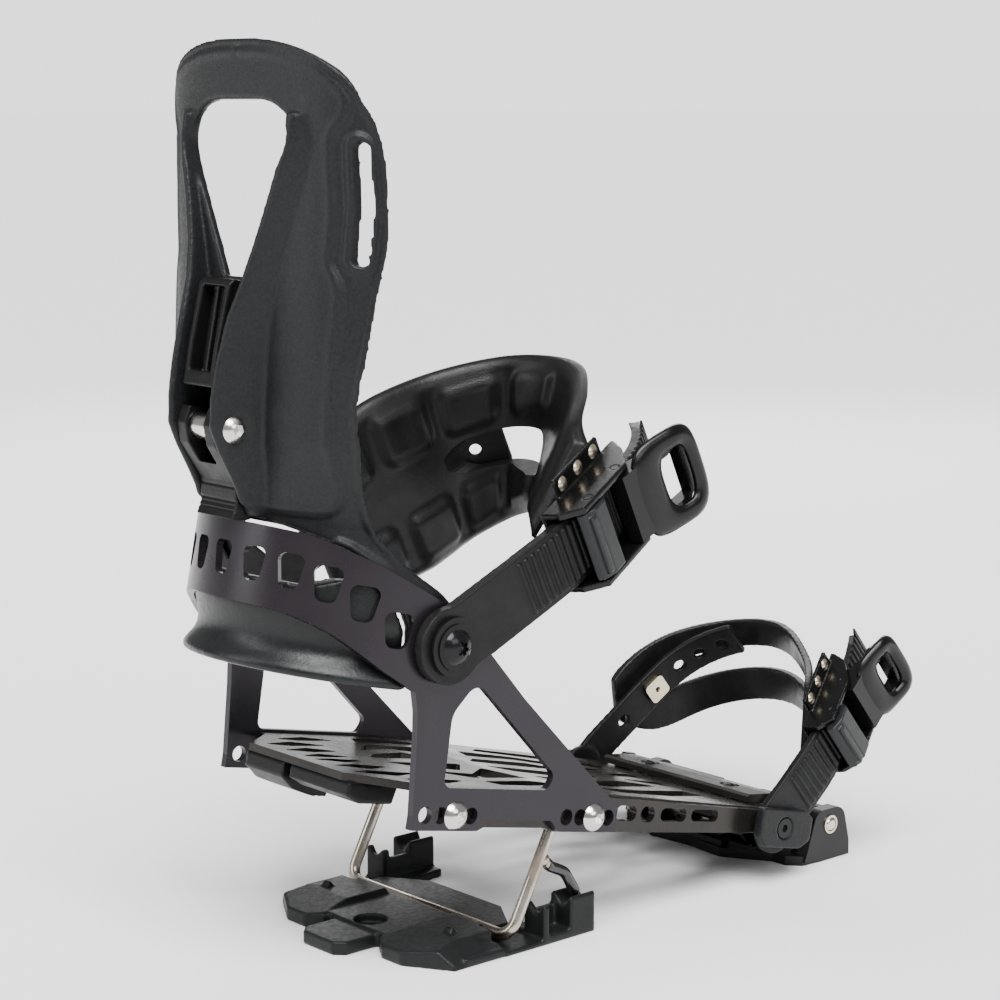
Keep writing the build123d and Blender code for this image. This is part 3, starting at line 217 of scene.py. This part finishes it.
def new_object(name, bm, slot, body, angle=40.0):
    mesh = bpy.data.meshes.new(name)
    bmesh.ops.recalc_face_normals(bm, faces=bm.faces)
    bm.to_mesh(mesh)
    bm.free()
    obj = bpy.data.objects.new(name, mesh)
    bpy.context.scene.collection.objects.link(obj)
    mesh.materials.append(MATS[slot].mat)
    for poly in mesh.polygons:
        poly.use_smooth = True
    mesh.set_sharp_from_angle(angle=math.radians(angle))
    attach(obj, body)
    return obj


# ------------------------------------------------------------------ moulded parts
def level(point):
    """Row-frame point in metres to the level binding frame in millimetres."""
    x, y, z = (1000 * c for c in point)
    z -= PIN_Z
    return Vector((x * math.cos(PITCH) - z * math.sin(PITCH), y, x * math.sin(PITCH) + z * math.cos(PITCH)))


def moulded(node, body, voxel, rounds):
    """Copy of a CAD part with the rounded corners that a mould leaves."""
    name = node + "_moulded"
    obj = bpy.data.objects.new(name, nodes[node].data.copy())
    bpy.context.scene.collection.objects.link(obj)
    remesh = obj.modifiers.new("remesh", "REMESH")
    remesh.mode = "VOXEL"
    remesh.voxel_size = voxel
    soften = obj.modifiers.new("soften", "SMOOTH")
    soften.factor = 0.5
    soften.iterations = rounds
    bpy.context.view_layer.update()
    shape = bpy.data.meshes.new_from_object(obj.evaluated_get(bpy.context.evaluated_depsgraph_get()))
    obj.modifiers.clear()
    obj.data = shape
    for poly in shape.polygons:
        poly.use_smooth = True
    shape.materials.clear()
    shape.materials.append(MATS[slot_of[node]].mat)
    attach(obj, body)
    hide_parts(node)
    return obj


def sharp_points(node, wanted, spacing=0.0012, angle=50.0):
    """KD-tree of points along a CAD part's sharp edges, where wanted(level point) is true."""
    bm = bmesh.new()
    bm.from_mesh(nodes[node].data)
    bmesh.ops.remove_doubles(bm, verts=bm.verts, dist=0.00001)
    points = []
    for edge in bm.edges:
        if len(edge.link_faces) == 2 and edge.calc_face_angle(0) > math.radians(angle):
            one, two = (v.co.copy() for v in edge.verts)
            steps = max(1, math.ceil((two - one).length / spacing))
            points += [one.lerp(two, k / steps) for k in range(steps + 1)]
    bm.free()
    points = [p for p in points if wanted(level(p))]
    tree = KDTree(len(points))
    for i, p in enumerate(points):
        tree.insert(p, i)
    tree.balance()
    return tree


# CAD part, its body, the voxel size of the copy and the rounds of smoothing
MOULDED = (("heel_cradle", "base", 0.0008, 8),
           ("toe_strap_mounts", "base", 0.0005, 5),
           ("heel_rest", "board_mounts", 0.0007, 3),
           ("toe_cap", "toe_strap", 0.0007, 6),
           ("toe_backstrap", "toe_strap", 0.0006, 3),
           ("ankle_backstrap", "ankle_strap", 0.0006, 3),
           ("ankle_ladder", "ankle_strap", 0.0004, 3),
           ("toe_ladder", "toe_strap", 0.0004, 3),
           ("ankle_buckle_frame", "ankle_strap", 0.0004, 6),
           ("toe_buckle_frame", "toe_strap", 0.0004, 5),
           ("ankle_release_lever", "ankle_release", 0.0004, 6),
           ("toe_release_lever", "toe_release", 0.0004, 5),
           ("lean_stop", "lean_foot", 0.0004, 3),
           ("lean_clip", "back", 0.0005, 3),
           ("heel_catch", "base", 0.0006, 3),
           ("heel_stop_block", "base", 0.0006, 3))
for node, body, voxel, rounds in MOULDED:
    moulded(node, body, voxel, rounds)


# ------------------------------------------------------------------ highback
# edge of the raised panel: height above the toe pins and half width there
PANEL = [(104.8, 14), (105.3, 27), (107, 38), (114, 43.6), (125, 45), (142, 46), (166, 48.6),
         (184, 49.6), (193, 46), (200, 46.4), (212, 47.2), (226, 46.4), (236, 46.6), (242, 50.5),
         (248.6, 52), (254.6, 48), (260.2, 38), (264.2, 20), (265, 3.5)]
BORDER_DEPTH = 1.5             # how far the border lies below the panel and the rims
BEAD_HEIGHT = 0.5              # raised line along the panel's edge
SKIN = 0.2                     # makes up for what the smoothing takes off


def panel_gap(v, w, line):
    """Distances outside the panel's edge, negative inside, for arrays of places."""
    near = np.full(len(v), 1e9)
    for a, b in line:
        near = np.minimum(near, (v - b) ** 2 + (w - a) ** 2)
    heights, halves = np.array(line).T
    inside = (w > heights[0]) & (w < heights[-1]) & (v < np.interp(w, heights, halves))
    return np.where(inside, -1, 1) * np.sqrt(near)


def shape_highback():
    """Sinks the border between the raised panel and the rolled rim along the outer edges and openings."""
    back = moulded("highback", "back", 0.0006, 10)
    line = [(p.x, p.y) for p in smooth_line([(w, v, 0) for w, v in PANEL], 140)]
    rims = sharp_points("highback", lambda p: abs(p.y) > 40 or p.z > 240)
    mesh = back.data
    count = len(mesh.vertices)
    place, normal = np.empty(count * 3), np.empty(count * 3)
    mesh.vertices.foreach_get("co", place)
    mesh.vertices.foreach_get("normal", normal)
    place, normal = place.reshape(-1, 3), normal.reshape(-1, 3)
    x, v, z = place.T * 1000
    u = x * math.cos(PITCH) - (z - PIN_Z) * math.sin(PITCH)
    w = x * math.sin(PITCH) + (z - PIN_Z) * math.cos(PITCH)
    normal_u = normal[:, 0] * math.cos(PITCH) - normal[:, 2] * math.sin(PITCH)
    away = np.stack([u + 250, v * 1.2], 1)
    away /= np.linalg.norm(away, axis=1)[:, None]
    facing = normal_u * away[:, 0] + normal[:, 1] * away[:, 1]
    gap = panel_gap(abs(v), w, line)
    rim = np.array([rims.find(p)[2] for p in place]) * 1000
    move = -BORDER_DEPTH * ease(gap / 2.2) * ease((rim - 1.2) / 2.4)
    move += BEAD_HEIGHT * np.exp(-((gap + 1.5) / 1.3) ** 2) * ease(rim / 2)
    move *= ease((w - 88) / 10) * ease((facing - 0.3) / 0.35)
    outward = np.stack([away[:, 0] * math.cos(PITCH), away[:, 1], -away[:, 0] * math.sin(PITCH)], 1)
    place += (outward * move[:, None] + normal * SKIN) / 1000
    mesh.vertices.foreach_set("co", place.reshape(-1))
    mesh.update()
    settle = back.modifiers.new("settle", "SMOOTH")
    settle.factor = 0.5
    settle.iterations = 8


shape_highback()


# ------------------------------------------------------------------ ankle pad
# the pad's upper and lower edge in the level binding frame, from the far strap to the buckle
ANKLE_UPPER = [(-226, 60.3, 112), (-212.7, 58.5, 134), (-198, 56, 149.5), (-171, 51, 164.5),
               (-148, 34, 176), (-139, 12, 179), (-143, -8, 176), (-155, -25, 166), (-168, -38, 154),
               (-171, -47, 145)]
ANKLE_LOWER = [(-193.3, 60.3, 66.8), (-168.6, 58, 75), (-150, 56, 84), (-131.7, 54, 98.5),
               (-126, 40, 109), (-130, 22, 114.5), (-143, 4, 117), (-160, -13, 117), (-177, -29, 114),
               (-187, -42, 107)]
CELL = 31.0                    # spacing of the cushions along the pad
CUSHION_ROWS = ((0.775, 0.155), (0.205, 0.145))     # middle and half width, as shares of the pad's width


def cushion(along, across, length, width):
    """Height of the moulded cushions at a place on the pad, 0 in the grooves and 1 on top."""
    if along < 6 or along > 0.66 * length:
        return 0.0
    dx = abs((along - 6) / CELL % 1.0 - 0.5) * CELL
    best = 0.0
    for middle, half in CUSHION_ROWS:
        dy = abs(across - middle) * width
        corner = math.hypot(max(0.0, dx - 7.5), max(0.0, dy - half * width + 6.0))
        best = max(best, ease((7.0 - corner) / 6.0))
    return best


def padded_band(name, upper, lower, slot, body, thick, puff, rim, along_n=150, across_n=44):
    """Curved moulded pad: plain outside, cushions inside, rolled rim."""
    top, bottom = smooth_line(upper, along_n), smooth_line(lower, along_n)
    mid = [(a + b) / 2 for a, b in zip(top, bottom)]
    length = sum((mid[i + 1] - mid[i]).length for i in range(along_n - 1))
    bm = bmesh.new()
    outer, inner = [], []
    travelled = 0.0
    for i in range(along_n):
        travelled += (mid[i] - mid[i - 1]).length if i else 0
        step = mid[min(i + 1, along_n - 1)] - mid[max(i - 1, 0)]
        normal = step.cross(top[i] - bottom[i]).normalized()
        width = (top[i] - bottom[i]).length
        line_o, line_i = [], []
        for j in range(across_n):
            f = j / (across_n - 1)
            p = bottom[i].lerp(top[i], f)
            edge = min(f, 1 - f) * width
            end = min(travelled, length - travelled)
            border = min(edge, end)
            flare = rim * (1 - ease(border / 7.0))
            inside = thick * (0.45 + 0.55 * ease(border / 3.0))
            inside += puff * cushion(travelled, f, length, width)
            line_o.append(bm.verts.new(row(*(p - normal * flare))))
            line_i.append(bm.verts.new(row(*(p + normal * (inside - flare)))))
        outer.append(line_o)
        inner.append(line_i)
    for grid in (outer, inner):
        for i in range(along_n - 1):
            for j in range(across_n - 1):
                bm.faces.new((grid[i][j], grid[i + 1][j], grid[i + 1][j + 1], grid[i][j + 1]))
    for i in range(along_n - 1):
        for j in (0, across_n - 1):
            bm.faces.new((outer[i][j], outer[i + 1][j], inner[i + 1][j], inner[i][j]))
    for j in range(across_n - 1):
        for i in (0, along_n - 1):
            bm.faces.new((outer[i][j], outer[i][j + 1], inner[i][j + 1], inner[i][j]))
    return new_object(name, bm, slot, body, 60)


ANKLE_LOOP = (-239.3, 65.5, 36)         # u and w of a strap's pivot, and the angle of its plane
TOE_LOOP = (-41, 0, 51)


def strap_point(along, across, up, u0, w0, angle):
    """Point given along a strap's plane, across the binding and upwards from that plane."""
    c, s = math.cos(math.radians(angle)), math.sin(math.radians(angle))
    return row(u0 + along * c - up * s, across, w0 + along * s + up * c)


def cut(obj, outline, place, depths):
    """Cuts an opening with the given closed outline, between two depths."""
    bm = bmesh.new()
    loops = [[bm.verts.new(place(a, b, depth)) for a, b in outline] for depth in depths]
    count = len(outline)
    for k in range(count):
        bm.faces.new((loops[0][k], loops[0][(k + 1) % count], loops[1][(k + 1) % count], loops[1][k]))
    bm.faces.new(loops[0])
    bm.faces.new(list(reversed(loops[1])))
    bmesh.ops.recalc_face_normals(bm, faces=bm.faces)
    mesh = bpy.data.meshes.new("cutter")
    bm.to_mesh(mesh)
    bm.free()
    cutter = bpy.data.objects.new("cutter", mesh)
    bpy.context.scene.collection.objects.link(cutter)
    mod = obj.modifiers.new("opening", "BOOLEAN")
    mod.operation = "DIFFERENCE"
    mod.object = cutter
    mod.solver = "EXACT"
    bpy.context.view_layer.update()
    solid = bpy.data.meshes.new_from_object(obj.evaluated_get(bpy.context.evaluated_depsgraph_get()))
    obj.modifiers.remove(mod)
    old = obj.data
    obj.data = solid
    bpy.data.meshes.remove(old)
    bpy.data.objects.remove(cutter)


def rounded(x0, x1, z0, z1, r, n=6):
    """Outline of a rectangle with rounded corners."""
    out = []
    corners = ((x1 - r, z1 - r, 0), (x0 + r, z1 - r, 90), (x0 + r, z0 + r, 180), (x1 - r, z0 + r, 270))
    for cx, cz, first in corners:
        for k in range(n + 1):
            a = math.radians(first + 90 * k / n)
            out.append((cx + r * math.cos(a), cz + r * math.sin(a)))
    return out


pad = padded_band("ankle_pad_moulded", ANKLE_UPPER, ANKLE_LOWER, "pad_fabric", "ankle_strap", 4.2, 3.0, 1.2)
cut(pad, rounded(8, 50, -6.3, 8.4, 5.5), lambda v, z, s: strap_point(s, v, z, *ANKLE_LOOP), (104, 150))
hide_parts("ankle_pad")


# ------------------------------------------------------------------ thumb loops of the ratchet levers
class Buckle:
    """Places points given in a buckle's own frame: x along the strap, y inwards, z across the strap."""

    def __init__(self, along, across, turn, loop):
        self.along, self.across, self.turn, self.loop = along, across, math.radians(turn), loop

    def __call__(self, x, y, z):
        c, s = math.cos(self.turn), math.sin(self.turn)
        return strap_point(self.along + x * c - y * s, self.across + x * s + y * c, z, *self.loop)


def lever_loop(name, place, pin, half, reach, lift, body):
    """Broad rounded loop from just past the lever's pin, with an opening near its free end."""
    px, py = pin
    count = 48

    def outline(x0, x1, wide, power):
        """Superellipse between x0 and x1."""
        pts = []
        for k in range(count):
            a = 2 * math.pi * k / count
            cx, sz = math.cos(a), math.sin(a)
            x = math.copysign(abs(cx) ** (2 / power), cx)
            z = math.copysign(abs(sz) ** (2 / power), sz)
            pts.append(((x0 + x1) / 2 + x * (x1 - x0) / 2, z * wide))
        return pts

    def rise(x):
        """How far outwards the lever's middle surface stands at x."""
        f = (x - px) / reach
        return py - 3.6 - lift * (0.25 + 0.75 * ease(f)) * max(0.0, min(1.0, f + 0.3))

    x0, x1 = px + 1.5, px + reach + 2
    outer = outline(x0, x1, half, 3.4)
    hole = outline(px + reach * 0.48, px + reach - 5.5, half * 0.56, 3.0)
    bm = bmesh.new()
    loops = []
    for pts, deep in ((hole, 1.6), (hole, -1.9), (outer, -1.4), (outer, 2.2)):
        loops.append([bm.verts.new(place(x, rise(x) + deep, z)) for x, z in pts])
    crown = []
    for (xo, zo), (xh, zh) in zip(outer, hole):
        x, z = xo * 0.55 + xh * 0.45, zo * 0.55 + zh * 0.45
        crown.append(bm.verts.new(place(x, rise(x) - 2.9, z)))
    order = [loops[0], loops[1], crown, loops[2], loops[3]]
    for one, two in zip(order, order[1:] + order[:1]):
        for k in range(count):
            bm.faces.new((one[k], one[(k + 1) % count], two[(k + 1) % count], two[k]))
    obj = new_object(name, bm, "buckle_gloss", body, 180)
    mod = obj.modifiers.new("smooth", "SUBSURF")
    mod.levels = mod.render_levels = 1
    return obj


ankle_place = Buckle(88, -56.2, 14, ANKLE_LOOP)
toe_place = Buckle(60, -52.85, 16, TOE_LOOP)
lever_loop("ankle_lever_loop", ankle_place, (10.0, -8.0), 20.5, 35, 9.5, "ankle_lever")
lever_loop("toe_lever_loop", toe_place, (7.0, -6.6), 16.8, 27, 8, "toe_lever")


# ------------------------------------------------------------------ light, floor, camera
PALE = 2.0                     # strength of the backdrop, so that it is as bright as the lit floor


def studio_world():
    """Even white surroundings, dimmer as a light than as a backdrop."""
    world = bpy.data.worlds.new("studio")
    world.use_nodes = True
    sky = world.node_tree.nodes["Background"]
    sky.inputs["Color"].default_value = (1.0, 1.0, 1.0, 1)
    rays = world.node_tree.nodes.new("ShaderNodeLightPath")
    bright = world.node_tree.nodes.new("ShaderNodeMapRange")
    bright.inputs["To Min"].default_value = 0.34
    bright.inputs["To Max"].default_value = PALE
    world.node_tree.links.new(rays.outputs["Is Camera Ray"], bright.inputs["Value"])
    world.node_tree.links.new(bright.outputs["Result"], sky.inputs["Strength"])
    bpy.context.scene.world = world


def sun_light(name, aim, power, spread):
    data = bpy.data.lights.new(name, "SUN")
    data.energy = power
    data.angle = math.radians(spread)
    lamp = bpy.data.objects.new(name, data)
    bpy.context.scene.collection.objects.link(lamp)
    lamp.rotation_mode = "QUATERNION"
    lamp.rotation_quaternion = Vector(aim).to_track_quat("-Z", "Y")
    return lamp


def area_light(name, place, size, power, aim=(-0.12, 0.0, 0.15)):
    data = bpy.data.lights.new(name, "AREA")
    data.shape = "RECTANGLE"
    data.size, data.size_y = size
    data.energy = power
    lamp = bpy.data.objects.new(name, data)
    bpy.context.scene.collection.objects.link(lamp)
    lamp.location = place
    lamp.rotation_mode = "QUATERNION"
    lamp.rotation_quaternion = (Vector(aim) - Vector(place)).to_track_quat("-Z", "Y")
    return lamp


studio_world()
sun_light("sky_panel", (0.35, 0.45, -1.0), 6.5, 40)
area_light("side", (-1.3, 0.5, 0.8), (0.5, 1.2), 9)
area_light("front", (-0.3, -1.4, 0.9), (0.8, 0.5), 7)
area_light("rim", (0.9, 1.0, 0.9), (0.9, 0.9), 10)

floor_mesh = bpy.data.meshes.new("floor")
bm = bmesh.new()
corners = [bm.verts.new((x, y, -0.0002)) for x, y in ((-60, -60), (60, -60), (60, 60), (-60, 60))]
bm.faces.new(corners)
bm.to_mesh(floor_mesh)
bm.free()
floor = bpy.data.objects.new("floor", floor_mesh)
bpy.context.scene.collection.objects.link(floor)
floor.data.materials.append(Mat("floor", (0.90, 0.90, 0.90), 0.9, 0.0, 0.0).vary_rough(0.03, 5).mat)

AZIMUTH, ELEVATION = math.radians(-41.58), math.radians(9.15)
cam_data = bpy.data.cameras.new("camera")
cam_data.sensor_width = 36
cam_data.lens = 89.14
cam_data.clip_start, cam_data.clip_end = 0.05, 200
camera = bpy.data.objects.new("camera", cam_data)
bpy.context.scene.collection.objects.link(camera)
toward_camera = Vector((math.sin(AZIMUTH) * math.cos(ELEVATION), -math.cos(AZIMUTH) * math.cos(ELEVATION),
                        math.sin(ELEVATION)))
camera.location = (-0.78828, -0.72942, 0.32205)
camera.rotation_mode = "QUATERNION"
camera.rotation_quaternion = (-toward_camera).to_track_quat("-Z", "Y")
bpy.context.scene.camera = camera
